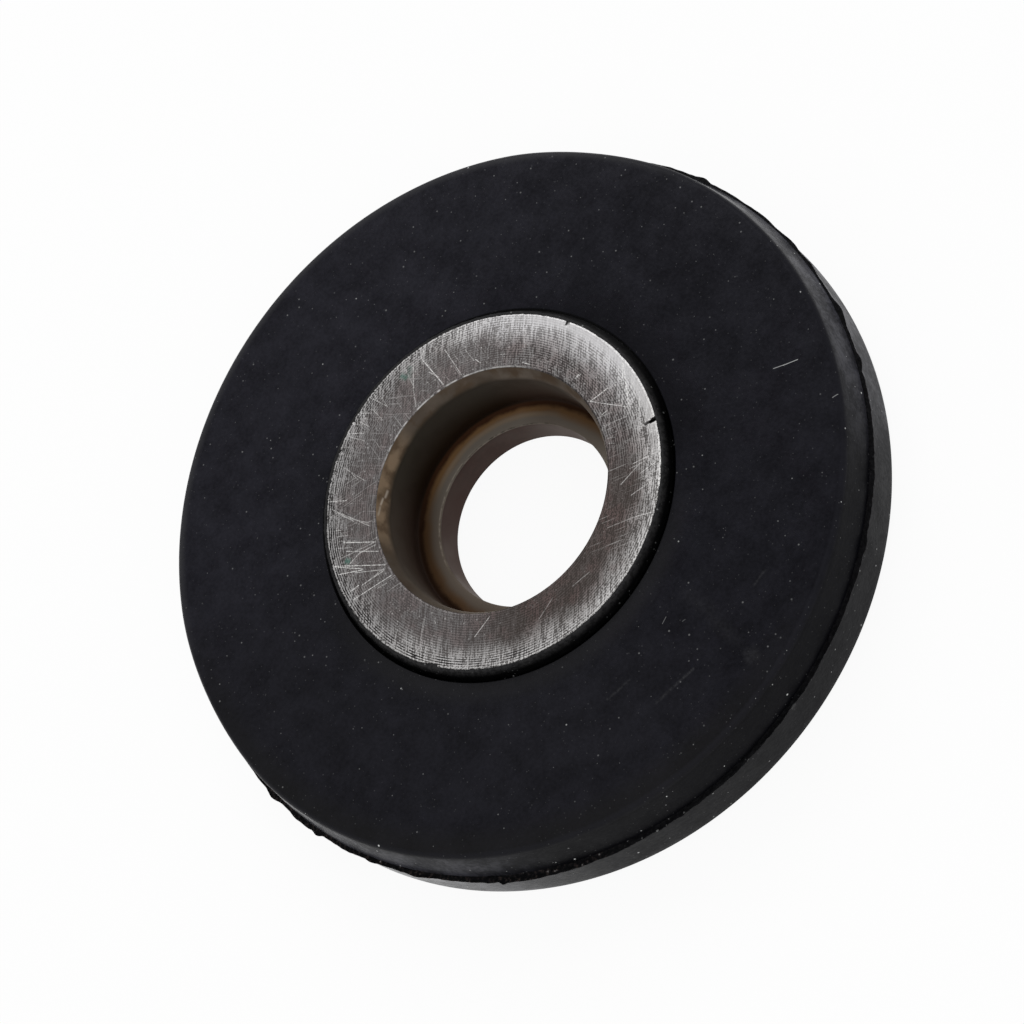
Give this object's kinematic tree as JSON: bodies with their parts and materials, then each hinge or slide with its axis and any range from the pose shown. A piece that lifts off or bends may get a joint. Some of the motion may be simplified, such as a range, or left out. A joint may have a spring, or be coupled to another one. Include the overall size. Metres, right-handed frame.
{
  "type": "relay rod spacer",
  "caption": "Round black rubber spacer disc moulded onto a turned steel bush with a counterbored through bore, which sits on a relay rod and cushions what it bears against.",
  "frame": {"origin": "middle of the bush's back face, on which the spacer lies", "axes": "+Z along the bore axis, from the back face to the counterbored front face; X and Y lie in the disc"},
  "size_m": [0.1014, 0.1008, 0.016],
  "materials": {
    "turned_steel": "satin",
    "black_rubber": "matte"
  },
  "bodies": {
    "root": {"steel_bush": "turned_steel", "rubber_disc": "black_rubber"}
  },
  "joints": []
}
